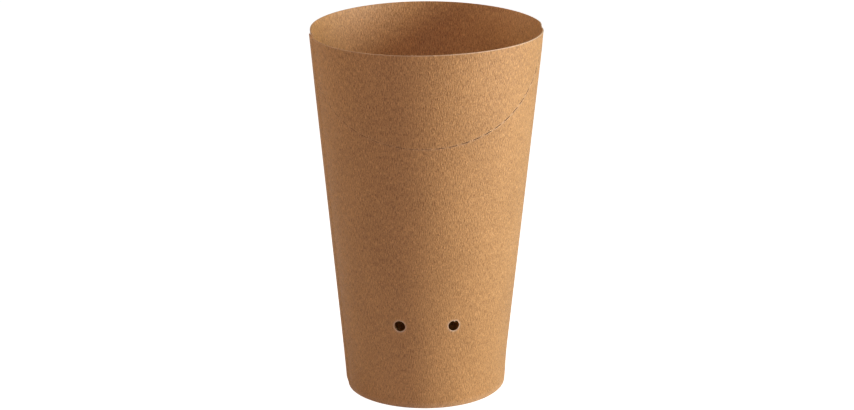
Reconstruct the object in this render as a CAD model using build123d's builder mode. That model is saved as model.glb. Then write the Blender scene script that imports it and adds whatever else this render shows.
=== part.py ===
from build123d import *
from math import acos, asin, atan, atan2, cos, degrees, hypot, radians, sin
import os

# The cup's main sizes, in millimetres
rim_diameter = 90.0
base_diameter = 62.5
cup_height = 144.5
wall_board = 0.45
disc_board = 0.45
glue_film = 0.05

# The foot: the wall's lower edge is turned in and up around the skirt of the disc
hem_height = 7.0
fold_radius = 0.45
hem_clearance = 1.0
skirt_clearance = 0.3

# The glued side seam: the front end of the wall laps over the back end
seam_turn = -85.0
lap_width = 8.0
lap_run_out = 3.0
lap_trim_height = 2.0

# The pair of vents, punched square to the wall, low on the front
vent_diameter = 4.4
vent_height = 34.7
vent_spacing = 20.8
vent_shift = 0.15

# The tear line: slits along an arc of the flat blank, from the side seam to the rim
tear_radius = 90.0
tear_depth = 37.0
tear_turn = -1.3
slit_length = 3.8
slit_width = 0.15
slit_shift = 0.8
bridge_length = 1.2

# How far a cut runs past the board on each side
cut_overrun = 1.0

# The front of the cup faces this way, in degrees about its axis
front_direction = -90.0

# Sizes that follow from those above
rim_radius = rim_diameter / 2
base_radius = base_diameter / 2
wall_slope = (rim_radius - base_radius) / cup_height
lean = atan(wall_slope)
wall_span = wall_board / cos(lean)
skirt_inset = (wall_board + glue_film) / cos(lean)
hem_inset = skirt_inset + (disc_board + glue_film + wall_board) / cos(lean)
disc_top = hem_height + hem_clearance + disc_board
skirt_foot = wall_board + skirt_clearance
lap_angle = degrees(lap_width / rim_radius)
run_out_angle = degrees(lap_run_out / rim_radius)
seam_direction = front_direction + seam_turn
rim_slant = rim_radius / sin(lean)
tear_centre = rim_slant - tear_depth + tear_radius
slit_pitch = slit_length + bridge_length


def wall_radius(height):
    """Outside radius of the wall at a height above the table."""
    return base_radius + wall_slope * height


def around(radius, direction):
    """Point on a level circle about the cup's axis."""
    return (radius * cos(radians(direction)), radius * sin(radians(direction)))


def wall_plane(turn, height, climb=0):
    """Plane on the outside of the wall, facing out, turned from the front of the cup.

    Its X axis runs round the wall, and climbs it by an angle.
    """
    direction = front_direction + turn
    x, y = around(wall_radius(height), direction)
    outward = Vector(1, 0, -wall_slope).rotate(Axis.Z, direction)
    along = Vector(0, 1).rotate(Axis.Z, direction).rotate(Axis((0, 0, 0), outward), climb)
    return Plane(origin=(x, y, height), x_dir=along, z_dir=outward)


def tear_plane(swing):
    """Plane on the wall along the tear line, an angle from the lowest point of its arc.

    The arc is drawn in the flat blank, about the point where the wall's slanting lines meet.
    """
    across = tear_radius * sin(swing)
    up = tear_centre - tear_radius * cos(swing)
    flat_angle = atan2(across, up)
    height = cup_height - (rim_slant - hypot(across, up)) * cos(lean)
    turn = tear_turn + degrees(flat_angle) / sin(lean)
    return turn, wall_plane(turn, height, degrees(flat_angle + swing))


def outer_ply(height):
    """Level section of the lap: the outer ply, and its run-out down to the wall."""
    radius = wall_radius(height)
    ply_end = seam_direction + lap_angle
    run_out_end = ply_end + run_out_angle
    buried = radius - wall_span / 2
    with BuildSketch(Plane.XY.offset(height)) as section:
        with BuildLine():
            face = CenterArc((0, 0), radius + wall_span, seam_direction, lap_angle)
            slope = Line(face @ 1, around(radius, run_out_end))
            edge = Line(slope @ 1, around(buried, run_out_end))
            back = CenterArc((0, 0), buried, run_out_end, -lap_angle - run_out_angle)
            Line(back @ 1, face @ 0)
        make_face()
    return section.sketch


def inner_edge_gap(height):
    """Level section of the hollow between the inner ply's cut edge and the run-out."""
    radius = wall_radius(height)
    ply_end = seam_direction + lap_angle
    heel = around(radius, ply_end)
    toe = around(radius - wall_span, ply_end + run_out_angle)
    inside = around(radius - wall_span - cut_overrun, ply_end + run_out_angle)
    corner = around(radius - wall_span - cut_overrun, ply_end)
    with BuildSketch(Plane.XY.offset(height)) as section:
        with BuildLine():
            Polyline(heel, toe, inside, corner, close=True)
        make_face()
    return section.sketch


# Side wall: a rolled cone with a folded foot, a lapped seam, two vents and a tear line
rim_point = (rim_radius, cup_height)
foot_point = (base_radius, 0)
toe_point = (base_radius - hem_inset, 0)
hem_point = (wall_radius(hem_height) - hem_inset, hem_height)
vent_places = [vent_shift - vent_spacing / 2, vent_shift + vent_spacing / 2]
vent_turns = [degrees(asin(place / wall_radius(vent_height))) for place in vent_places]
vent_planes = [wall_plane(turn, vent_height) for turn in vent_turns]

tear_reach = acos((tear_centre**2 + tear_radius**2 - rim_slant**2) / (2 * tear_centre * tear_radius))
slits_each_side = int((tear_radius * tear_reach - slit_length / 2 - slit_shift) / slit_pitch)
slit_steps = range(-slits_each_side, slits_each_side + 1)
slit_swings = [(slit_pitch * step + slit_shift) / tear_radius for step in slit_steps]
slits = [tear_plane(swing) for swing in slit_swings]
lap_start = seam_turn + degrees(slit_length / 2 / rim_radius)
lap_end = seam_turn + lap_angle
lap_slits = [plane for turn, plane in slits if lap_start < turn < lap_end]
wall_slits = [plane for turn, plane in slits if turn >= lap_end]

ply_sections = [outer_ply(lap_trim_height), outer_ply(cup_height)]
gap_sections = [inner_edge_gap(disc_top + hem_clearance), inner_edge_gap(cup_height + cut_overrun)]

with BuildPart() as side_wall:
    with BuildSketch(Plane.XZ) as board_section:
        with BuildLine():
            outside = Polyline(rim_point, foot_point, toe_point, hem_point)
            offset(outside, amount=wall_board, kind=Kind.INTERSECTION, side=Side.RIGHT, closed=True)
        make_face()
        foot_corners = board_section.vertices().group_by(Axis.Y)[0]
        fillet(foot_corners, radius=fold_radius)
    revolve(axis=Axis.Z)
    loft(ply_sections, ruled=True)
    loft(gap_sections, ruled=True, mode=Mode.SUBTRACT)
    with BuildSketch(*vent_planes):
        Circle(vent_diameter / 2)
    extrude(amount=wall_board + cut_overrun, both=True, mode=Mode.SUBTRACT)
    with BuildSketch(*wall_slits):
        Rectangle(slit_length, slit_width)
    extrude(amount=wall_board + cut_overrun, both=True, mode=Mode.SUBTRACT)
    with BuildSketch(*lap_slits):
        Rectangle(slit_length, slit_width)
    extrude(amount=wall_board + cut_overrun, mode=Mode.SUBTRACT)
side_wall.part.label = "side_wall"

# Bottom disc: a round blank with its edge turned down as a skirt inside the hem
skirt_point = (wall_radius(skirt_foot) - skirt_inset, skirt_foot)
shoulder_point = (wall_radius(disc_top) - skirt_inset, disc_top)
centre_point = (0, disc_top)

with BuildPart() as bottom_disc:
    with BuildSketch(Plane.XZ):
        with BuildLine():
            upper_face = Polyline(skirt_point, shoulder_point, centre_point)
            offset(upper_face, amount=disc_board, kind=Kind.INTERSECTION, side=Side.LEFT, closed=True)
        make_face()
    revolve(axis=Axis.Z)
bottom_disc.part.label = "bottom_disc"

os.makedirs("parts", exist_ok=True)
export_step(side_wall.part, "parts/side_wall.step")
export_step(bottom_disc.part, "parts/bottom_disc.step")
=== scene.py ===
"""Dressed model of a kraft paper snack cup.

The wall is one die-cut blank of kraft board, rolled to a cone, lapped and glued down its left side, and
folded in at the foot around the skirt of a bottom disc. A tear line and a pair of vents are cut in it.
"""

import logging
import math
from dataclasses import dataclass, field
from enum import Enum

import bpy
import numpy as np
from mathutils import Matrix, Vector
from mathutils.geometry import delaunay_2d_cdt


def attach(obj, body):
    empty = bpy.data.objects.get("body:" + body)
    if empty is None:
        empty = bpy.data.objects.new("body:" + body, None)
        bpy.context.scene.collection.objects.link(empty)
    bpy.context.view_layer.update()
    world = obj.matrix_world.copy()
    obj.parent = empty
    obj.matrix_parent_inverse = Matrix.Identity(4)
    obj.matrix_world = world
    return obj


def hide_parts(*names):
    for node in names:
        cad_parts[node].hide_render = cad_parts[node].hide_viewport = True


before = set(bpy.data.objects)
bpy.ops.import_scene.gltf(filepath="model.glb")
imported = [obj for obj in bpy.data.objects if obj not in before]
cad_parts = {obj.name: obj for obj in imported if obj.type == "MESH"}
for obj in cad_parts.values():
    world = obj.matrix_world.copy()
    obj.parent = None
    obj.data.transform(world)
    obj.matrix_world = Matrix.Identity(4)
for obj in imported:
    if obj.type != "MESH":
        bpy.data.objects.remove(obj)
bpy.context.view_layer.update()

Array = np.ndarray
FlatPoints = tuple[Array, Array]
Pair = tuple[float, float]
Colour = tuple[float, float, float]
Socket = bpy.types.NodeSocket
Material = bpy.types.Material
Object = bpy.types.Object

MM = 0.001
DEG = math.radians(1.0)
WHITE = (1.0, 1.0, 1.0)
BODY = "root"
CREAM, AMBER, ROSE = (1.0, 0.945, 0.87), (1.0, 0.76, 0.59), (1.0, 0.66, 0.62)
# Shift of the inner side's flat coordinates, which gives it fibres of its own
INSIDE_SHIFT = (0.5, 0.0)
# How the flat blank is cut: only triangles inside the outline, and points this near are one
KEEP_INSIDE, CUT_TOLERANCE = 1, 1e-6
LEAST_LENGTH = 1e-20
NOISE_MIDDLE = 0.5
# Sockets of a Mix node that carry colours: share, first and second, and the result
MIX_INPUTS, MIX_OUTPUT = (0, 6, 7), 2

log = logging.getLogger("snack_cup")


class Finish(Enum):
    """Which finish a face of the board takes."""

    FACE = 0
    CUT = 1
    # The slits' cut faces, whose near-black finish is painted shade
    SLIT = 2


def smooth_step(share: Array) -> Array:
    """Ease from 0 to 1 as a share goes from 0 to 1: three squares less two cubes."""
    held = np.clip(share, 0.0, 1.0)
    return held * held * (3.0 - 2.0 * held)


def bell(distance: Array, width: float) -> Array:
    """Bell curve that is 1 at no distance and falls to 1/e at a width."""
    return np.exp(-((distance / width) ** 2))


def wrapped(angle: Array) -> Array:
    """The same angle, brought between minus half a turn and half a turn."""
    return (angle + math.pi) % (2.0 * math.pi) - math.pi


def harmonic(turn: Array, times: int, parts: Pair) -> Array:
    """Wave round the cup: a cosine part and a sine part of a number of times the turn."""
    return parts[0] * np.cos(times * turn) + parts[1] * np.sin(times * turn)


def add_object(name: str, data: bpy.types.ID) -> Object:
    """Add an object that holds the data to the scene, at the origin."""
    added = bpy.data.objects.new(name, data)
    bpy.context.scene.collection.objects.link(added)
    return added


@dataclass(frozen=True)
class CupForm:
    """The cone that every piece follows, and the ways in which the cup departs from it.

    A turn is an angle about the axis from the front of the cup, growing towards its right-hand side.
    """

    rim_radius: float = 45.0 * MM
    base_radius: float = 31.25 * MM
    height: float = 144.5 * MM
    board: float = 0.45 * MM
    glue_film: float = 0.05 * MM
    seam_turn: float = -85.0 * DEG
    rim_oval: Pair = (-0.14 * MM, -0.60 * MM)
    base_oval: Pair = (0.28 * MM, -0.92 * MM)
    rim_trefoil: Pair = (-0.17 * MM, 0.19 * MM)
    base_trefoil: Pair = (-0.03 * MM, 0.29 * MM)
    foot_swell: Pair = (0.33 * MM, 0.20 * MM)
    foot_swell_height: float = 8.0 * MM
    seam_press: float = -0.20 * MM
    seam_press_rim: float = -0.11 * MM
    seam_press_width: float = 14.0 * DEG
    seam_press_depth: float = 15.0 * MM
    side_dent: float = -0.80 * MM
    side_dent_turn: float = 93.0 * DEG
    side_dent_width: float = 6.5 * DEG
    side_dent_depth: float = 5.0 * MM
    rim_climb: float = 1.08 * MM
    rim_sway: float = 0.27 * MM
    rim_wave: Pair = (0.17 * MM, 0.30 * MM)
    corner_droop: float = -0.42 * MM
    corner_droop_width: float = 12.0 * DEG
    back_sag: float = -0.21 * MM
    back_sag_turn: float = 220.0 * DEG
    back_sag_width: float = 45.0 * DEG

    @property
    def slope(self) -> float:
        """Gain of the wall's radius for each metre of height."""
        return (self.rim_radius - self.base_radius) / self.height

    @property
    def lean(self) -> float:
        """Angle between the wall and the axis."""
        return math.atan(self.slope)

    @property
    def rim_slant(self) -> float:
        """Distance from the point of the cone to the rim, along the wall."""
        return self.rim_radius / math.sin(self.lean)

    def radius(self, height: Array) -> Array:
        """Outside radius of the plain cone at a height."""
        return self.base_radius + self.slope * height

    def departure(self, turn: Array, height: Array) -> Array:
        """How far the board stands out from the plain cone.

        Waves of two and three times the turn, blended from the base to the rim, plus bell curves: a swell of
        the folded foot, the hollow pressed along the side seam, and a dent in the rim on the right.

        Args:
            turn: Turns from the front.
            height: Heights above the table.

        Returns:
            The radial departure.
        """
        share = height / self.height
        depth = self.height - height
        base = harmonic(turn, 2, self.base_oval) + harmonic(turn, 3, self.base_trefoil)
        rim = harmonic(turn, 2, self.rim_oval) + harmonic(turn, 3, self.rim_trefoil)
        even, right = self.foot_swell
        swell = (even + right * np.sin(turn)) * bell(height, self.foot_swell_height)
        press = self.seam_press + self.seam_press_rim * bell(depth, self.seam_press_depth)
        hollow = press * bell(wrapped(turn - self.seam_turn), self.seam_press_width)
        dent = self.side_dent * bell(wrapped(turn - self.side_dent_turn), self.side_dent_width)
        return base + (rim - base) * share + swell + hollow + dent * bell(depth, self.side_dent_depth)

    def lift(self, turn: Array, height: Array) -> Array:
        """How far the rim stands above its plain level, fading to nothing at the table.

        A climb once round from the seam, a sway, a wave, the drooping corner of the seam and a sag behind.

        Args:
            turn: Turns from the front, counted on past half a turn up to the seam.
            height: Heights above the table.

        Returns:
            The rise.
        """
        around = (turn - self.seam_turn) / (2.0 * math.pi)
        wave = harmonic(turn, 2, self.rim_wave)
        droop = self.corner_droop * bell(turn - self.seam_turn, self.corner_droop_width)
        sag = self.back_sag * bell(turn - self.back_sag_turn, self.back_sag_width)
        rise = self.rim_climb * (around - 0.5) + self.rim_sway * np.sin(turn) + wave + droop + sag
        return rise * height / self.height

    def place(self, turn: Array, radius: Array, height: Array) -> Array:
        """Points of the row frame at turns, radii and heights: the front of the cup looks along -Y."""
        return np.stack([radius * np.sin(turn), -radius * np.cos(turn), height], axis=-1)


@dataclass
class Sheet:
    """A closed shell of board: its points, faces and what each corner carries."""

    points: Array
    faces: list[Array]
    normals: list[Array]
    finishes: list[Finish]
    blank: Array
    wear_and_highlight: Array

    def to_object(self, name: str, materials: dict[Finish, Material]) -> Object:
        """Make the mesh object, with its flat coordinates, its mark of wear and painted highlight, and
        smooth normals.

        Args:
            name: Name of the piece.
            materials: Material for each finish.

        Returns:
            The new object, at the origin.
        """
        mesh = bpy.data.meshes.new(name)
        listed = [corners for group in self.faces for corners in group.tolist()]
        mesh.from_pydata(self.points.tolist(), [], listed)
        counts = [len(group) for group in self.faces]
        slots = np.repeat([finish.value for finish in self.finishes], counts)
        for finish in Finish:
            mesh.materials.append(materials[finish])
        mesh.polygons.foreach_set("material_index", slots.astype(np.int32))
        mesh.polygons.foreach_set("use_smooth", np.ones(len(slots), dtype=bool))
        corners = np.concatenate([group.ravel() for group in self.faces])
        flat = mesh.uv_layers.new(name="blank")
        flat.data.foreach_set("uv", self.blank[corners].ravel())
        wear_and_highlight = mesh.attributes.new("wear_and_highlight", "FLOAT", "POINT")
        wear_and_highlight.data.foreach_set("value", self.wear_and_highlight)
        mesh.normals_split_custom_set(np.concatenate(self.normals).tolist())
        mesh.update()
        return add_object(name, mesh)


def face_normals(points: Array, faces: Array) -> Array:
    """Normals of flat faces, as the cross product of two sides, repeated for each corner.

    Args:
        points: All points of the mesh.
        faces: Corner numbers, one row for each face.

    Returns:
        One normal for each corner, in order.
    """
    first = points[faces[:, 1]] - points[faces[:, 0]]
    second = points[faces[:, 2]] - points[faces[:, 0]]
    cross = np.cross(first, second)
    length = np.maximum(np.linalg.norm(cross, axis=1, keepdims=True), LEAST_LENGTH)
    return np.repeat(cross / length, faces.shape[1], axis=0)


def open_edges(faces: Array) -> Array:
    """Edges that belong to only one triangle, in the direction in which it runs along them.

    Args:
        faces: Corner numbers of triangles.

    Returns:
        Pairs of corner numbers.
    """
    sides = np.concatenate([faces[:, [0, 1]], faces[:, [1, 2]], faces[:, [2, 0]]])
    _, index, counts = np.unique(np.sort(sides, axis=1), axis=0, return_index=True, return_counts=True)
    return sides[index[counts == 1]]


@dataclass
class SideWall:
    """The rolled wall: a flat blank, cut with its vents and tear line, then rolled, lapped and folded."""

    form: CupForm
    lap_width: float = 8.0 * MM
    lap_run_out: float = 3.0 * MM
    lap_trim_height: float = 3.0 * MM
    lap_rise_height: float = 1.0 * MM
    lap_gape: float = 0.01 * MM
    lap_gape_depth: float = 8.0 * MM
    lap_gape_width: float = 4.0 * DEG
    hem_height: float = 7.0 * MM
    hem_inset: float = 1.457 * MM
    hem_gap: float = 0.1 * DEG
    fold_radius: float = 0.30 * MM
    fold_board: float = 0.26 * MM
    fold_ease: float = 0.80 * MM
    vent_diameter: float = 4.4 * MM
    vent_height: float = 34.7 * MM
    vent_spacing: float = 20.8 * MM
    vent_shift: float = 0.15 * MM
    vent_rough: float = 0.03 * MM
    vent_waves: Pair = (3.0, 7.0)
    vent_wave_starts: Pair = (0.6, 2.2)
    fine_wave_share: float = 0.6
    tufted_vents: Pair = (0.0, 1.0)
    tuft_reach: float = 0.60 * MM
    tuft_turn: float = -87.0 * DEG
    tuft_width: float = 7.0 * DEG
    tear_radius: float = 90.0 * MM
    tear_depth: float = 37.0 * MM
    tear_turn: float = -1.3 * DEG
    slit_length: float = 3.8 * MM
    slit_open: float = 0.30 * MM
    slit_shut: float = 0.10 * MM
    opening_start: float = -10.0 * DEG
    opening_end: float = 18.0 * DEG
    slit_shift: float = 0.8 * MM
    bridge_length: float = 1.2 * MM
    slit_fullness: int = 8
    inside_wear_and_highlight: float = 0.3
    rim_wear_least: float = 0.1
    rim_wear_and_highlight_depth: float = 0.20 * MM
    foot_wear: float = 0.25
    foot_wear_width: float = 1.0 * MM
    vent_pale_ring: float = 0.85
    vent_pale_ring_width: float = 0.35 * MM
    slit_wear: float = 0.25
    slit_wear_width: float = 0.3 * MM
    rim_fibres: tuple[float, ...] = (-9.6 * DEG, -7.2 * DEG, -5.6 * DEG)
    rim_fibre_rises: tuple[float, ...] = (0.20 * MM, 0.36 * MM, 0.26 * MM)
    rim_fibre_width: float = 0.25 * DEG
    rim_highlight_turn: float = 45.0 * DEG
    rim_highlight_width: float = 55.0 * DEG
    lip_height: float = 0.05 * MM
    lip_width: float = 0.60 * MM
    lip_shift: float = 0.25 * MM
    crease_depth: float = 0.09 * MM
    crease_width: float = 0.45 * MM
    column_step: float = 1.5 * DEG
    row_step: float = 2.4 * MM
    fold_steps: int = 6
    hem_steps: int = 5
    rim_rows: tuple[float, ...] = (0.15 * MM, 0.4 * MM, 0.9 * MM)
    rim_margin: float = 1.0 * MM
    clear_of_cuts: float = 0.9 * MM
    beside_share: float = 0.7
    points_per_slit: int = 4
    slit_points: int = 9
    vent_points: int = 60
    vent_rings: tuple[float, ...] = (0.45 * MM, 1.0 * MM)
    outer_fold: Array = field(init=False)
    inner_fold: Array = field(init=False)
    marks: Array = field(init=False)

    def __post_init__(self) -> None:
        """Work out the middles of the folds, and the runs from the rim at which wall, folds and hem end."""
        form, fold = self.form, self.fold_radius
        sine, cosine = math.sin(form.lean), math.cos(form.lean)
        self.outer_fold = np.array([form.base_radius - fold * (1.0 - sine) / cosine, fold])
        toe_radius = form.base_radius - self.hem_inset
        self.inner_fold = np.array([toe_radius + fold * (1.0 + sine) / cosine, fold])
        wall = (form.height - fold + fold * sine) / cosine
        outer = fold * (math.pi / 2.0 - form.lean)
        foot = self.outer_fold[0] - self.inner_fold[0]
        inner = fold * (math.pi / 2.0 + form.lean)
        hem = (self.hem_height - fold * (1.0 + sine)) / cosine
        self.marks = np.cumsum([wall, outer, foot, inner, hem])

    @property
    def last_turn(self) -> float:
        """Turn of the inner ply's cut edge, where the blank ends, one full turn and a lap past the seam."""
        return self.form.seam_turn + 2.0 * math.pi + self.lap_width / self.form.rim_radius

    @property
    def foot_turn(self) -> float:
        """Turn at which the foot of the blank begins, just clear of its other end."""
        return self.last_turn - 2.0 * math.pi + self.hem_gap

    @property
    def trim_run(self) -> float:
        """Run at which the outer ply is trimmed above the foot."""
        return (self.form.height - self.lap_trim_height) / math.cos(self.form.lean)

    @property
    def tear_centre(self) -> float:
        """Distance of the tear line's centre from the point of the cone, in the flat blank."""
        return self.form.rim_slant - self.tear_depth + self.tear_radius

    def profile(self, run: Array) -> Array:
        """Radius and height of the outside of the board at a run from the rim.

        The run goes down the wall, round the outer fold, along the foot, round the inner fold, up the hem.
        A straight point is a start plus a direction times the run. A point of a fold is its middle plus the
        fold's radius at an angle that falls with the run.

        Args:
            run: Runs along the board from the rim.

        Returns:
            The radii and the heights, a row of each.
        """
        form, fold, marks = self.form, self.fold_radius, self.marks
        sine, cosine = math.sin(form.lean), math.cos(form.lean)
        along = np.array([[sine], [cosine]])
        angles = (-form.lean - (run - marks[0]) / fold, -math.pi / 2.0 - (run - marks[2]) / fold)
        rounds = [fold * np.stack([np.cos(angle), np.sin(angle)]) for angle in angles]
        wall = np.array([[form.rim_radius], [form.height]]) - run * along
        outer = self.outer_fold[:, None] + rounds[0]
        foot = np.stack([self.outer_fold[0] - (run - marks[1]), np.zeros_like(run)])
        inner = self.inner_fold[:, None] + rounds[1]
        hem_start = self.inner_fold + fold * np.array([-cosine, sine])
        hem = hem_start[:, None] + (run - marks[3]) * along
        return np.select([run < mark for mark in marks[:4]], [wall, outer, foot, inner], hem)

    def lap_rise(self, turn: Array, height: Array) -> Array:
        """How far the outer ply rides over the inner one, running out past its edge and above the foot.

        Args:
            turn: Turns from the front, counted on from the seam.
            height: Heights above the table.

        Returns:
            The radial rise, with the small gape at the top corner of the lap.
        """
        form = self.form
        past = (turn - self.foot_turn) / (self.lap_run_out / form.rim_radius)
        ply = (form.board + form.glue_film) * (1.0 - smooth_step(past))
        climb = (height - self.lap_rise_height) / (self.lap_trim_height - self.lap_rise_height)
        corner = bell(form.height - height, self.lap_gape_depth)
        gape = self.lap_gape * corner * bell(turn - form.seam_turn, self.lap_gape_width)
        return ply * smooth_step(climb) + gape

    @property
    def pitch(self) -> float:
        """Distance from one slit of the tear line to the next."""
        return self.slit_length + self.bridge_length

    def from_tear_centre(self, turn: Array, run: Array) -> FlatPoints:
        """Places across and down from the tear line's centre, in the flat blank."""
        angle, slant = (turn - self.tear_turn) * math.sin(self.form.lean), self.form.rim_slant - run
        return slant * np.sin(angle), self.tear_centre - slant * np.cos(angle)

    def tear_distance(self, turn: Array, run: Array) -> Array:
        """Distance outside the tear line's arc in the flat blank, positive below the line."""
        return np.hypot(*self.from_tear_centre(turn, run)) - self.tear_radius

    def tear_points(self, swing: Array, offset: Array) -> FlatPoints:
        """Turn and run of points along the tear line.

        The arc is drawn in the flat blank. A flat angle over the sine of the lean is a turn.

        Args:
            swing: Angles about the arc's centre, from its lowest point.
            offset: Distances outside the arc.

        Returns:
            The turns and the runs.
        """
        reach = self.tear_radius + offset
        across = reach * np.sin(swing)
        up = self.tear_centre - reach * np.cos(swing)
        turn = self.tear_turn + np.arctan2(across, up) / math.sin(self.form.lean)
        return turn, self.form.rim_slant - np.hypot(across, up)

    def tear_swing(self, turn: Array, run: Array) -> Array:
        """Angle of points about the tear line's centre, from its lowest point, in the flat blank."""
        return np.arctan2(*self.from_tear_centre(turn, run))

    def slit_width(self, swing: Array) -> Array:
        """Width of the slits along the tear line: nearly shut on the left, eased to open on the right."""
        share = smooth_step((swing - self.opening_start) / (self.opening_end - self.opening_start))
        return self.slit_shut + (self.slit_open - self.slit_shut) * share

    def slit_swings(self) -> Array:
        """Middles of the slits, as angles about the tear line's centre, from the seam to the rim."""
        centre, radius, rim = self.tear_centre, self.tear_radius, self.form.rim_slant
        reach = math.acos((centre**2 + radius**2 - rim**2) / (2.0 * centre * radius))
        count = math.ceil(radius * reach / self.pitch)
        middles = (np.arange(-count, count + 1) * self.pitch + self.slit_shift) / radius
        half = self.slit_length / radius
        left_end, _ = self.tear_points(middles - half, np.zeros_like(middles))
        return middles[(left_end > self.form.seam_turn) & (middles + half < reach)]

    def slits(self) -> FlatPoints:
        """Outlines of the slits: narrow eyes, as wide as the root of one less a power of the way to the tip.

        Returns:
            The turns and the runs, one row of outline points for each slit.
        """
        share = np.linspace(-1.0, 1.0, self.slit_points)
        eye = np.sqrt(1.0 - share**self.slit_fullness)
        along = np.concatenate([share, share[-2:0:-1]]) * self.slit_length / 2.0 / self.tear_radius
        side = np.concatenate([eye, -eye[-2:0:-1]]) / 2.0
        middles = self.slit_swings()[:, None]
        return self.tear_points(middles + along[None, :], self.slit_width(middles) * side[None, :])

    def vent_middles(self) -> tuple[Array, float]:
        """Turns of the two vents, and their run from the rim."""
        places = self.vent_shift + np.array([-0.5, 0.5]) * self.vent_spacing
        turns = np.arcsin(places / self.form.radius(self.vent_height))
        return turns, (self.form.height - self.vent_height) / math.cos(self.form.lean)

    def vent_circles(self, beyond: float) -> FlatPoints:
        """Circles about the vents, drawn on the wall.

        Args:
            beyond: Distance outside the cut edge.

        Returns:
            The turns and the runs, one row for each vent.
        """
        turns, run = self.vent_middles()
        angle = np.linspace(0.0, 2.0 * math.pi, self.vent_points, endpoint=False)[:, None]
        edge = self.vent_edge(angle) if beyond == 0.0 else self.vent_diameter / 2.0 + beyond
        turn = turns + edge * np.cos(angle) / self.form.radius(self.vent_height)
        return turn.T, np.broadcast_to(run + edge * np.sin(angle), turn.shape).T

    def vent_edge(self, angle: Array) -> Array:
        """Radii of the two punched edges: a slightly ragged circle, and a tuft in the right one.

        The raggedness is a coarse wave and a fine one. The tuft is a bell curve taken off the radius.

        Args:
            angle: Angles about the vents, one column for each vent or one for both.

        Returns:
            The radii, one column for each vent.
        """
        coarse, fine = self.vent_waves
        starts, tufted = np.array(self.vent_wave_starts), np.array(self.tufted_vents)
        waves = np.cos(coarse * angle + starts) + self.fine_wave_share * np.cos(fine * angle)
        tuft = self.tuft_reach * bell(wrapped(angle - self.tuft_turn), self.tuft_width) * tufted
        return self.vent_diameter / 2.0 + self.vent_rough * waves - tuft

    def vent_distance(self, turn: Array, run: Array) -> Array:
        """Distance outside the nearer vent's cut edge."""
        turns, middle = self.vent_middles()
        across = (turn[..., None] - turns) * self.form.radius(self.vent_height)
        down = np.broadcast_to((run - middle)[..., None], across.shape)
        edge = self.vent_edge(np.arctan2(down, across))
        return (np.hypot(across, down) - edge).min(axis=-1)

    def rows(self) -> Array:
        """Runs of the lattice rows: close at the rim, even down the wall, and close round the folds."""
        marks = self.marks
        plain = np.arange(self.rim_rows[-1] + self.row_step, marks[0] - self.row_step / 2.0, self.row_step)
        folds = [np.linspace(marks[k], marks[k + 1], self.fold_steps) for k in range(3)]
        hem = np.linspace(marks[3], marks[4], self.hem_steps)
        return np.unique(np.concatenate([[0.0], self.rim_rows, plain, *folds, hem]))

    def columns(self) -> Array:
        """Turns of the lattice columns, even from one end of the blank to the other."""
        count = math.ceil((self.last_turn - self.form.seam_turn) / self.column_step) + 1
        return np.linspace(self.form.seam_turn, self.last_turn, count)

    def rim_line(self) -> FlatPoints:
        """Cut line of the rim: level, but for a few fibres that stand up from it as small points.

        Returns:
            The turns, in order, and the runs.
        """
        columns, fibres = self.columns(), np.array(self.rim_fibres)
        beside = np.abs(columns[:, None] - fibres).min(axis=1) < 2.0 * self.rim_fibre_width
        plain = columns[~beside]
        spread = fibres[:, None] + self.rim_fibre_width * np.array([-1.0, 0.0, 1.0])
        rise = np.array(self.rim_fibre_rises)[:, None] * np.array([0.0, -1.0, 0.0])
        turns = np.concatenate([plain, spread.ravel()])
        runs = np.concatenate([np.zeros(len(plain)), rise.ravel()])
        order = np.argsort(turns)
        return turns[order], runs[order]

    def outline(self) -> FlatPoints:
        """Outline of the blank: along the hem, up one end, back along the rim, down to the tab and foot.

        Returns:
            The turns and the runs, anticlockwise seen from outside the cup.
        """
        rows, columns = self.rows(), self.columns()
        half_column, part_row = self.column_step / 2.0, self.row_step / 4.0
        foot = np.concatenate([[self.foot_turn], columns[columns > self.foot_turn + half_column]])
        tab = columns[columns < self.foot_turn - half_column]
        below = rows[rows > self.trim_run + part_row]
        above = rows[(rows > 0.0) & (rows < self.trim_run - part_row)]
        rim_turns, rim_runs = self.rim_line()
        stretches = [
            (foot, rows[-1]),
            (self.last_turn, rows[-2:0:-1]),
            (rim_turns[::-1], rim_runs[::-1]),
            (self.form.seam_turn, above),
            (np.append(tab, self.foot_turn), self.trim_run),
            (self.foot_turn, below[:-1]),
        ]
        turns, runs = np.concatenate([np.broadcast_arrays(*stretch) for stretch in stretches], axis=1)
        return turns, runs

    def lattice(self) -> FlatPoints:
        """Points inside the blank: a lattice clear of the cuts, and rings round them.

        Returns:
            The turns and the runs.
        """
        turn, run = np.meshgrid(self.columns()[1:-1], self.rows()[1:-1])
        clear = self.clear_of_cuts
        aside = clear / self.form.rim_radius
        cut_off = (turn < self.foot_turn + aside) & (run > self.trim_run - clear)
        near_tear = np.abs(self.tear_distance(turn, run)) < clear
        near_vent = self.vent_distance(turn, run) < clear + self.vent_rings[-1]
        keep = ~(cut_off | near_tear | near_vent)
        half = self.points_per_slit // 2
        step = self.pitch / self.tear_radius / self.points_per_slit
        along = (self.slit_swings()[:, None] + step * np.arange(-half, half)).ravel()
        aways = [np.full(along.shape, side * clear * self.beside_share) for side in (-1.0, 1.0)]
        beside = [self.tear_points(along, away) for away in aways]
        rings = [self.vent_circles(beyond) for beyond in self.vent_rings]
        extra_turn = np.concatenate([part[0].ravel() for part in beside + rings])
        extra_run = np.concatenate([part[1].ravel() for part in beside + rings])
        inside = (extra_turn > self.form.seam_turn + aside) & (extra_run > clear)
        turns = np.concatenate([turn[keep], extra_turn[inside]])
        return turns, np.concatenate([run[keep], extra_run[inside]])

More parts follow.
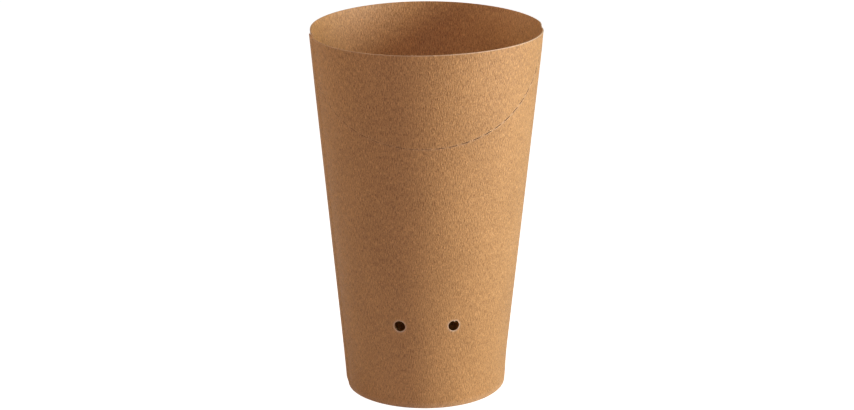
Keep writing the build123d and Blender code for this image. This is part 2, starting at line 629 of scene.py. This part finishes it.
    def is_cut_away(self, turn: Array, run: Array) -> Array:
        """Whether points lie in a vent, in a slit, beside the tab, or above the rim off its fibres."""
        beside_tab = (turn < self.foot_turn) & (run > self.trim_run)
        off_fibre = np.abs(turn[:, None] - self.rim_fibres).min(axis=1) > self.rim_fibre_width / 2.0
        gone = beside_tab | (off_fibre & (run < 0.0)) | (self.vent_distance(turn, run) < 0.0)
        swing = self.tear_swing(turn, run)
        along = np.abs(swing[:, None] - self.slit_swings()).min(axis=1) * self.tear_radius
        near = np.abs(self.tear_distance(turn, run)) < self.slit_width(swing) / 2.0
        return gone | (near & (along < self.slit_length / 2.0))

    def cut_blank(self) -> tuple[Array, Array, Array]:
        """Cut the flat blank into triangles that keep to its outline, slits and vents.

        Returns:
            The turns and runs of the points, and the triangles, anticlockwise seen from outside the cup.
        """
        loops = [self.outline()]
        loops += list(zip(*self.slits()))
        loops += list(zip(*self.vent_circles(0.0)))
        sizes = [len(turns) for turns, _ in loops]
        starts = np.cumsum([0] + sizes[:-1])
        rings = [np.stack([np.arange(size), (np.arange(size) + 1) % size], axis=1) for size in sizes]
        edges = np.concatenate([start + ring for start, ring in zip(starts, rings)])
        inside = self.lattice()
        turn = np.concatenate([turns for turns, _ in loops] + [inside[0]])
        run = np.concatenate([runs for _, runs in loops] + [inside[1]])
        flat = np.stack([turn * self.form.rim_radius, -run], axis=1) / MM
        corners = [Vector(point) for point in flat]
        found = delaunay_2d_cdt(corners, edges.tolist(), [], KEEP_INSIDE, CUT_TOLERANCE, False)
        points = np.array([tuple(point) for point in found[0]]) * MM
        faces = np.array(found[2], dtype=int)
        turn, run = points[:, 0] / self.form.rim_radius, -points[:, 1]
        keep = ~self.is_cut_away(turn[faces].mean(axis=1), run[faces].mean(axis=1))
        return turn, run, faces[keep]

    def roll(self, turn: Array, run: Array) -> Array:
        """Roll flat points into the cup: the profile carried round the axis, with its departures added.

        Args:
            turn: Turns from the front.
            run: Runs from the rim.

        Returns:
            Points on the outside of the board.
        """
        radius, height = self.profile(run)
        distance = self.tear_distance(turn, run)
        lip = self.lip_height * bell(distance - self.lip_shift, self.lip_width)
        crease = self.crease_depth * bell(distance, self.crease_width)
        out = self.form.departure(turn, height) + self.lap_rise(turn, height) + lip - crease
        lift = self.form.lift(turn, height)
        return self.form.place(turn, radius + out + self.form.slope * lift, height + lift)

    def facing(self, turn: Array, run: Array) -> Array:
        """Outward normals, as the cross product of the surface's slopes along the run and the turn."""
        small_turn, small_run = 1e-4, 1e-5
        along = self.roll(turn + small_turn, run) - self.roll(turn - small_turn, run)
        down = self.roll(turn, run + small_run) - self.roll(turn, run - small_run)
        cross = np.cross(down, along)
        return cross / np.linalg.norm(cross, axis=1, keepdims=True)

    def thickness(self, run: Array) -> Array:
        """Thickness of the board at a run: full, but crushed in the folds of the foot."""
        before, after = self.marks[0] - run, run - self.marks[3]
        crease = 1.0 - smooth_step(np.maximum(before, after) / self.fold_ease)
        return self.form.board - (self.form.board - self.fold_board) * crease

    def wear_and_highlight(self, turn: Array, run: Array) -> Array:
        """How pale the board is made: rubbed at the foot fold and slits, ringed round the vents, and at the
        rim painted highlight on the right front over an even rub.
        """
        least = self.rim_wear_least
        # Painted highlight: the rim turns paler round the right front, where the light catches it, over an
        # even rub all round.
        rim_rub_and_highlight = least + (1.0 - least) * bell(wrapped(turn - self.rim_highlight_turn), self.rim_highlight_width)
        rim = rim_rub_and_highlight * bell(np.maximum(run, 0.0), self.rim_wear_and_highlight_depth)
        foot = self.foot_wear * bell(run - self.marks[1], self.foot_wear_width)
        # A paler ring round each vent's cut edge.
        vent = self.vent_pale_ring * bell(self.vent_distance(turn, run), self.vent_pale_ring_width)
        gape = self.slit_width(self.tear_swing(turn, run)) / self.slit_open
        slit = self.slit_wear * gape * bell(self.tear_distance(turn, run), self.slit_wear_width)
        return np.maximum.reduce([rim, foot, vent, slit])

    def sheet(self) -> Sheet:
        """Give the rolled blank its thickness: an outer skin, an inner skin and the cut edges between them.

        Returns:
            The closed shell.
        """
        turn, run, faces = self.cut_blank()
        outer = self.roll(turn, run)
        facing = self.facing(turn, run)
        points = np.concatenate([outer, outer - self.thickness(run)[:, None] * facing])
        rim = open_edges(faces)
        middle_turn, middle_run = turn[rim].mean(axis=1), run[rim].mean(axis=1)
        by_tear = np.abs(self.tear_distance(middle_turn, middle_run)) < self.slit_open
        on_slit = by_tear & (middle_run > self.rim_margin)
        count = len(outer)
        inner = faces[:, ::-1] + count
        cuts = [edges[:, [1, 0, 0, 1]] + [0, 0, count, count] for edges in (rim[~on_slit], rim[on_slit])]
        cut_normals = [face_normals(points, cut) for cut in cuts]
        blank = np.stack([turn * self.form.rim_radius, -run], axis=1)
        wear_and_highlight = self.wear_and_highlight(turn, run)
        return Sheet(
            points=points,
            faces=[faces, inner, *cuts],
            normals=[facing[faces.ravel()], -facing[inner.ravel() - count], *cut_normals],
            # The slits' cut faces take the slit finish, whose near-black colour is painted shade.
            finishes=[Finish.FACE, Finish.FACE, Finish.CUT, Finish.SLIT],
            blank=np.concatenate([blank, blank + INSIDE_SHIFT]),
            wear_and_highlight=np.concatenate([wear_and_highlight, self.inside_wear_and_highlight * wear_and_highlight]),
        )

    def build(self, materials: dict[Finish, Material]) -> Object:
        """Make the wall, and put it in the place of the plain one."""
        piece = self.sheet().to_object("rolled_wall", materials)
        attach(piece, BODY)
        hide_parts("side_wall")
        return piece


@dataclass
class BottomDisc:
    """The bottom: a round blank with its edge turned down as a skirt, which the hem of the wall holds."""

    form: CupForm
    top_height: float = 8.45 * MM
    skirt_foot: float = 0.75 * MM
    bend_radius: float = 0.8 * MM
    crown: float = 0.15 * MM
    columns: int = 192
    face_rings: int = 24
    bend_steps: int = 7
    skirt_rings: int = 6

    def profile(self) -> tuple[Array, Array, Array, Array]:
        """Upper side of the blank from its middle to the foot of the skirt.

        Straight out, round a bend whose angle grows from level to the wall's lean, then straight down.

        Returns:
            Radii, heights, and the outward normal's radial and upward parts.
        """
        form, bend = self.form, self.bend_radius
        inset = (form.board + form.glue_film) / math.cos(form.lean)
        level = self.top_height - bend
        centre = form.radius(level) - inset - bend / math.cos(form.lean)
        angle = np.linspace(math.pi / 2.0, -form.lean, self.bend_steps)
        out = np.linspace(0.0, centre, self.face_rings, endpoint=False)
        start = level - bend * math.sin(form.lean)
        down = np.linspace(start, self.skirt_foot, self.skirt_rings)[1:]
        radius = np.concatenate([out, centre + bend * np.cos(angle), form.radius(down) - inset])
        dome = self.top_height + self.crown * (1.0 - (out / centre) ** 2)
        height = np.concatenate([dome, level + bend * np.sin(angle), down])
        tilt = np.concatenate([np.full(len(out), math.pi / 2.0), angle, np.full(len(down), -form.lean)])
        return radius, height, np.cos(tilt), np.sin(tilt)

    def sheet(self) -> Sheet:
        """Carry the profile round the axis, and give it its thickness.

        Returns:
            The closed shell, with its poles at the axis.
        """
        form = self.form
        radius, height, out, up = self.profile()
        turn = np.arange(self.columns) * (2.0 * math.pi / self.columns)
        ring_turn, ring_radius = np.meshgrid(turn, radius[1:])
        ring_height = np.broadcast_to(height[1:, None], ring_turn.shape)
        share = ring_radius / form.radius(ring_height)
        oval = form.departure(ring_turn, ring_height) * share
        upper = form.place(ring_turn, ring_radius + oval, ring_height).reshape(-1, 3)
        facing = form.place(ring_turn, np.broadcast_to(out[1:, None], ring_turn.shape), 0.0 * ring_turn)
        facing[..., 2] = up[1:, None]
        facing = np.concatenate([[[0.0, 0.0, 1.0]], facing.reshape(-1, 3)])
        upper = np.concatenate([[[0.0, 0.0, height[0]]], upper])
        ring = np.arange(self.columns)
        following = (ring + 1) % self.columns
        fan = np.stack([np.zeros_like(ring), 1 + ring, 1 + following], axis=1)
        starts = 1 + self.columns * np.arange(len(radius) - 2)[:, None]
        bands = np.stack([ring, ring + self.columns, following + self.columns, following], axis=-1)
        bands = (starts[..., None] + bands[None]).reshape(-1, 4)
        count = len(upper)
        points = np.concatenate([upper, upper - form.board * facing])
        last = 1 + self.columns * (len(radius) - 2)
        near, far = last + ring, last + following
        edge = np.stack([near, near + count, far + count, far], axis=1)
        skins = [fan, bands, fan[:, ::-1] + count, bands[:, ::-1] + count]
        normals = [facing[fan.ravel()], facing[bands.ravel()]]
        normals += [-facing[skin.ravel() - count] for skin in skins[2:]]
        path = np.concatenate([[0.0], np.cumsum(np.hypot(np.diff(radius), np.diff(height)))])
        flat = path[1:, None, None] * np.stack([np.sin(turn), -np.cos(turn)], axis=-1)[None]
        flat = np.concatenate([[[0.0, 0.0]], flat.reshape(-1, 2)])
        return Sheet(
            points=points,
            faces=[*skins, edge],
            normals=[*normals, face_normals(points, edge)],
            finishes=[Finish.FACE] * 4 + [Finish.CUT],
            blank=np.concatenate([flat, flat + INSIDE_SHIFT]),
            wear_and_highlight=np.zeros(2 * count),
        )

    def build(self, materials: dict[Finish, Material]) -> Object:
        """Make the bottom, and put it in the place of the plain one."""
        piece = self.sheet().to_object("bottom_board", materials)
        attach(piece, BODY)
        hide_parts("bottom_disc")
        return piece


@dataclass(frozen=True)
class PulpLayer:
    """A layer of noise in the pulp: its cell across and along, finer layers and weight."""

    cell: Pair
    detail: float
    weight: float = 0.0
    rough: float = 0.5


class NodeBench:
    """Adds nodes to one tree and joins them, so that a finish reads as a short recipe."""

    def __init__(self, tree: bpy.types.NodeTree) -> None:
        """Keep the tree that the nodes go into."""
        self.tree = tree

    def add(self, kind: str, inputs: dict[str, object] | None = None, **settings: object) -> bpy.types.Node:
        """Add a node.

        Args:
            kind: The node's type.
            inputs: Values for its sockets, or sockets to link to them, by socket name.
            settings: Values for its own properties.

        Returns:
            The new node.
        """
        node = self.tree.nodes.new(kind)
        for name, value in settings.items():
            setattr(node, name, value)
        self.set(node, inputs or {})
        return node

    def set(self, node: bpy.types.Node, inputs: dict[str, object]) -> None:
        """Link or set sockets of a node by their names."""
        for name, value in inputs.items():
            self.feed(node.inputs[name], value)

    def feed(self, socket: Socket, value: object) -> None:
        """Link a socket to another, or set its value."""
        if isinstance(value, bpy.types.NodeSocket):
            self.tree.links.new(value, socket)
        else:
            socket.default_value = value

    def math(self, operation: str, *values: object, clamp: bool = False) -> Socket:
        """Add a Math node.

        Args:
            operation: The sum to do.
            values: Numbers or sockets, in the order of its inputs.
            clamp: Whether to hold the result between 0 and 1.

        Returns:
            Its output.
        """
        node = self.add("ShaderNodeMath", operation=operation, use_clamp=clamp)
        for socket, value in zip(node.inputs, values):
            self.feed(socket, value)
        return node.outputs[0]

    def mix(self, share: object, first: object, second: object) -> Socket:
        """Mix two colours.

        Args:
            share: Share of the second colour.
            first: A colour or a socket.
            second: A colour or a socket.

        Returns:
            The mixed colour.
        """
        node = self.add("ShaderNodeMix", data_type="RGBA")
        for socket, value in zip(MIX_INPUTS, (share, first, second)):
            self.feed(node.inputs[socket], value)
        return node.outputs[MIX_OUTPUT]

    def noise(self, place: Socket, layer: PulpLayer) -> Socket:
        """Flat noise about one half.

        Args:
            place: Flat coordinates, in metres.
            layer: The size of its cells, and how many and how strong its finer layers are.

        Returns:
            The values of the noise.
        """
        across, along = layer.cell
        stretch = self.add("ShaderNodeVectorMath", operation="MULTIPLY")
        self.feed(stretch.inputs[0], place)
        self.feed(stretch.inputs[1], (1.0 / across, 1.0 / along, 0.0))
        values = {"Vector": stretch.outputs[0], "Scale": 1.0}
        values |= {"Detail": layer.detail, "Roughness": layer.rough}
        return self.add("ShaderNodeTexNoise", values, noise_dimensions="2D").outputs["Fac"]


def rgba(colour: Colour) -> tuple[float, ...]:
    """The colour with a full alpha."""
    return (*colour, 1.0)


@dataclass(frozen=True)
class KraftPulp:
    """The pulp of kraft board: short fibres along it, grain, hairs, mottling, clouds and single strands."""

    fibre: PulpLayer = PulpLayer((0.27 * MM, 2.00 * MM), detail=1.0, weight=1.10)
    grain: PulpLayer = PulpLayer((0.24 * MM, 0.70 * MM), detail=0.0, weight=0.78)
    hair: PulpLayer = PulpLayer((0.09 * MM, 1.30 * MM), detail=1.0, weight=0.80)
    mottle: PulpLayer = PulpLayer((2.2 * MM, 3.2 * MM), detail=3.0, weight=0.25, rough=0.6)
    cloud: PulpLayer = PulpLayer((17.0 * MM, 24.0 * MM), detail=2.0, weight=0.20)
    strand: PulpLayer = PulpLayer((0.30 * MM, 3.4 * MM), detail=1.0)
    strand_dark: float = 0.33
    strand_pale: float = 0.67
    strand_gain: float = 5.0
    rough_swing: float = 0.3
    fibre_relief: float = 0.7
    grain_relief: float = 0.3

    def group(self) -> bpy.types.NodeTree:
        """Make the pulp's node group.

        Each layer is noise about one half. Their weighted sum tones the colour from deep to pale, and two of
        them make the height. Single dark and pale strands are the tails of a long thin noise.

        Returns:
            The group, which takes flat coordinates and puts out a colour, a roughness and a height.
        """
        group = bpy.data.node_groups.new("kraft_fibre", "ShaderNodeTree")
        takes = {"Blank": "Vector", "Deep": "Color", "Pale": "Color", "Rough": "Float"}
        gives = {"Color": "Color", "Roughness": "Float", "Height": "Float"}
        for way, sockets in (("INPUT", takes), ("OUTPUT", gives)):
            for name, kind in sockets.items():
                group.interface.new_socket(name, in_out=way, socket_type="NodeSocket" + kind)
        bench = NodeBench(group)
        given = bench.add("NodeGroupInput").outputs
        layers = (self.fibre, self.grain, self.hair, self.mottle, self.cloud)
        noises = [bench.noise(given["Blank"], layer) for layer in layers]
        fibre, grain, _, mottle, _ = noises
        tone: object = 0.0
        for layer, noise in zip(layers, noises):
            offset = bench.math("SUBTRACT", noise, NOISE_MIDDLE)
            tone = bench.math("MULTIPLY_ADD", offset, layer.weight, tone)
        pulp = bench.mix(bench.math("ADD", tone, NOISE_MIDDLE, clamp=True), given["Deep"], given["Pale"])
        strand = bench.noise(given["Blank"], self.strand)
        below = bench.math("SUBTRACT", self.strand_dark, strand)
        above = bench.math("SUBTRACT", strand, self.strand_pale)
        dark, pale = (bench.math("MULTIPLY", tail, self.strand_gain, clamp=True) for tail in (below, above))
        swing = bench.math("SUBTRACT", mottle, NOISE_MIDDLE)
        relief = bench.math("MULTIPLY", grain, self.grain_relief)
        out = bench.add("NodeGroupOutput").inputs
        bench.feed(out["Color"], bench.mix(pale, bench.mix(dark, pulp, given["Deep"]), given["Pale"]))
        bench.feed(out["Roughness"], bench.math("MULTIPLY_ADD", swing, self.rough_swing, given["Rough"]))
        bench.feed(out["Height"], bench.math("MULTIPLY_ADD", fibre, self.fibre_relief, relief))
        return group


@dataclass(frozen=True)
class KraftFinish:
    """Unbleached kraft board: brown pulp with fibres, a dull calendered sheen, and pale edges, partly rubbed
    and partly painted highlight.
    """

    name: str
    deep: Colour
    pale: Colour
    rubbed_and_highlight: Colour
    roughness: float = 0.45
    specular: float = 0.5
    bump: float = 1.0
    bump_depth: float = 0.17 * MM

    def material(self, fibre: bpy.types.NodeTree) -> Material:
        """Make the material.

        Args:
            fibre: The kraft pulp's node group.

        Returns:
            A material that follows the piece's flat coordinates and its mark of wear and painted highlight.
        """
        material = bpy.data.materials.new(self.name)
        material.use_nodes = True
        bench = NodeBench(material.node_tree)
        blank = bench.add("ShaderNodeUVMap", uv_map="blank").outputs["UV"]
        values = {"Blank": blank, "Deep": rgba(self.deep), "Pale": rgba(self.pale), "Rough": self.roughness}
        pulp = bench.add("ShaderNodeGroup", values, node_tree=fibre).outputs
        wear_and_highlight = bench.add("ShaderNodeAttribute", attribute_name="wear_and_highlight").outputs["Fac"]
        relief = {"Strength": self.bump, "Distance": self.bump_depth, "Height": pulp["Height"]}
        looks = {
            "Base Color": bench.mix(wear_and_highlight, pulp["Color"], rgba(self.rubbed_and_highlight)),
            "Roughness": pulp["Roughness"],
            "Specular IOR Level": self.specular,
            "Normal": bench.add("ShaderNodeBump", relief).outputs["Normal"],
        }
        bench.set(material.node_tree.nodes["Principled BSDF"], looks)
        return material


# The rubbed colour shows real rubbing at the foot and slits, a pale ring round the vents, and painted
# highlight along the rim round the right front.
WALL_FINISH = KraftFinish(
    "kraft_wall_face", deep=(0.248, 0.124, 0.040), pale=(0.745, 0.442, 0.183), rubbed_and_highlight=(0.78, 0.62, 0.45)
)
DISC_FINISH = KraftFinish(
    "kraft_disc_face", deep=(0.241, 0.120, 0.039), pale=(0.723, 0.429, 0.178), rubbed_and_highlight=(0.64, 0.40, 0.20)
)
# On the cut edges the rubbed colour is painted highlight at the rim round the right front, and the pale ring
# in the vents.
CUT_FINISH = KraftFinish(
    "kraft_cut_edge",
    deep=(0.46, 0.27, 0.12),
    pale=(0.74, 0.50, 0.28),
    rubbed_and_highlight=(0.94, 0.79, 0.55),
    roughness=0.8,
)
# Painted shade: the slits' cut faces are near black and without gloss, standing in for the shadow down
# inside the narrow cuts.
SLIT_SHADE_FINISH = KraftFinish(
    "kraft_slit_painted_shade",
    deep=(0.07, 0.035, 0.013),
    pale=(0.15, 0.08, 0.03),
    rubbed_and_highlight=(0.12, 0.065, 0.025),
    roughness=0.85,
    specular=0.0,
)


@dataclass(frozen=True)
class Lamp:
    """A square soft box, aimed at the middle of the cup."""

    name: str
    turn: float
    elevation: float
    distance: float
    size: float
    power: float
    colour: Colour = WHITE
    spread: float = 180.0

    def build(self, target: Vector) -> None:
        """Hang the lamp.

        Args:
            target: The point that it is aimed at.
        """
        light = bpy.data.lights.new(self.name, "AREA")
        light.shape = "SQUARE"
        light.size = self.size
        light.energy = self.power
        light.color = self.colour
        light.spread = math.radians(self.spread)
        turn, rise = math.radians(self.turn), math.radians(self.elevation)
        level = math.cos(rise)
        towards = Vector((math.sin(turn) * level, -math.cos(turn) * level, math.sin(rise)))
        lamp = add_object(self.name, light)
        lamp.location = target + towards * self.distance
        lamp.rotation_euler = towards.to_track_quat("Z", "Y").to_euler()


@dataclass
class Studio:
    """A white sweep in a dim room, with soft light.

    A key and a card are on the right, a box on the left and a fill in front. A snoot hangs over the mouth.
    """

    target: Vector
    floor_reach: float = 4.0
    floor_drop: float = 0.1 * MM
    floor_grey: float = 0.65
    floor_glow: float = 0.93
    gloss_level: float = 0.1
    room_level: float = 0.02
    lamps: tuple[Lamp, ...] = (
        Lamp("key_box", turn=80.0, elevation=13.0, distance=1.2, size=0.45, power=14.0, colour=CREAM),
        Lamp("sheen_card", turn=78.0, elevation=3.0, distance=0.5, size=0.16, power=0.42),
        Lamp("left_box", turn=-108.0, elevation=32.0, distance=0.30, size=0.20, power=0.46, colour=AMBER),
        Lamp("front_fill", turn=0.0, elevation=35.0, distance=1.2, size=0.6, power=4.6, colour=ROSE),
        Lamp("mouth_snoot", turn=0.0, elevation=90.0, distance=0.45, size=0.06, power=0.003, spread=12.0),
    )

    def seen_rays(self, bench: NodeBench) -> Socket:
        """Mask of the rays that show the background: from the camera, through glass, and dimmer in gloss."""
        path = bench.add("ShaderNodeLightPath").outputs
        direct = bench.math("MAXIMUM", path["Is Camera Ray"], path["Is Transmission Ray"])
        return bench.math("MAXIMUM", direct, bench.math("MULTIPLY", path["Is Glossy Ray"], self.gloss_level))

    def floor_material(self) -> Material:
        """Pale matt floor that glows white where it is seen, and keeps the object's shadow."""
        material = bpy.data.materials.new("white_floor")
        material.use_nodes = True
        bench = NodeBench(material.node_tree)
        looks = {
            "Base Color": rgba((self.floor_grey,) * 3),
            "Roughness": 1.0,
            "Specular IOR Level": 0.0,
            "Emission Color": rgba(WHITE),
            "Emission Strength": bench.math("MULTIPLY", self.seen_rays(bench), self.floor_glow),
        }
        bench.set(material.node_tree.nodes["Principled BSDF"], looks)
        return material

    def floor(self) -> None:
        """Lay the floor, a square just under the foot of the cup."""
        reach = self.floor_reach
        corners = [(x * reach, y * reach, -self.floor_drop) for x, y in ((-1, -1), (1, -1), (1, 1), (-1, 1))]
        mesh = bpy.data.meshes.new("floor")
        mesh.from_pydata(corners, [], [(0, 1, 2, 3)])
        mesh.materials.append(self.floor_material())
        floor = add_object("floor", mesh)

    def room(self) -> None:
        """Light the room softly, and show it white to the camera."""
        world = bpy.data.worlds.new("white_room")
        world.use_nodes = True
        bench = NodeBench(world.node_tree)
        shown = bench.math("MULTIPLY_ADD", self.seen_rays(bench), 1.0 - self.room_level, self.room_level)
        bench.set(world.node_tree.nodes["Background"], {"Color": rgba(WHITE), "Strength": shown})
        bpy.context.scene.world = world

    def build(self) -> None:
        """Set up the floor, the room and the lamps."""
        self.floor()
        self.room()
        for lamp in self.lamps:
            lamp.build(self.target)


@dataclass
class PhotoCamera:
    """The camera at the photograph's viewpoint, set back along -Y, looking down with a slight roll."""

    distance: float = 913.0 * MM
    height: float = 358.9 * MM
    pitch: float = 17.382 * DEG
    roll: float = 0.132 * DEG
    focal_pixels: float = 2434.6
    image_width: float = 854.0
    centre_column: float = 426.92
    sensor: float = 36.0

    def build(self) -> None:
        """Place the camera and make it the scene's own."""
        data = bpy.data.cameras.new("photo_camera")
        data.sensor_width = self.sensor
        data.lens = self.focal_pixels * self.sensor / self.image_width
        data.shift_x = (self.image_width / 2.0 - self.centre_column) / self.image_width
        level_up = Vector((0.0, math.sin(self.pitch), math.cos(self.pitch)))
        back = Vector((0.0, -math.cos(self.pitch), math.sin(self.pitch)))
        side = Vector((1.0, 0.0, 0.0))
        right = math.cos(self.roll) * side + math.sin(self.roll) * level_up
        up = math.cos(self.roll) * level_up - math.sin(self.roll) * side
        axes = Matrix((right, up, back)).transposed()
        camera = add_object("photo_camera", data)
        camera.matrix_world = Matrix.Translation((0.0, -self.distance, self.height)) @ axes.to_4x4()
        bpy.context.scene.camera = camera


def main() -> None:
    """Build the pieces in order, then the studio and the camera."""
    logging.basicConfig(level=logging.INFO, format="%(name)s: %(message)s")
    form = CupForm()
    fibre = KraftPulp().group()
    edges = {Finish.CUT: CUT_FINISH.material(fibre), Finish.SLIT: SLIT_SHADE_FINISH.material(fibre)}
    wall = SideWall(form).build({Finish.FACE: WALL_FINISH.material(fibre), **edges})
    disc = BottomDisc(form).build({Finish.FACE: DISC_FINISH.material(fibre), **edges})
    for piece in (wall, disc):
        log.info("%s has %d faces", piece.name, len(piece.data.polygons))
    Studio(target=Vector((0.0, 0.0, form.height / 2.0))).build()
    PhotoCamera().build()
    bpy.context.scene.view_settings.view_transform = "Standard"


if __name__ == "__main__":
    main()
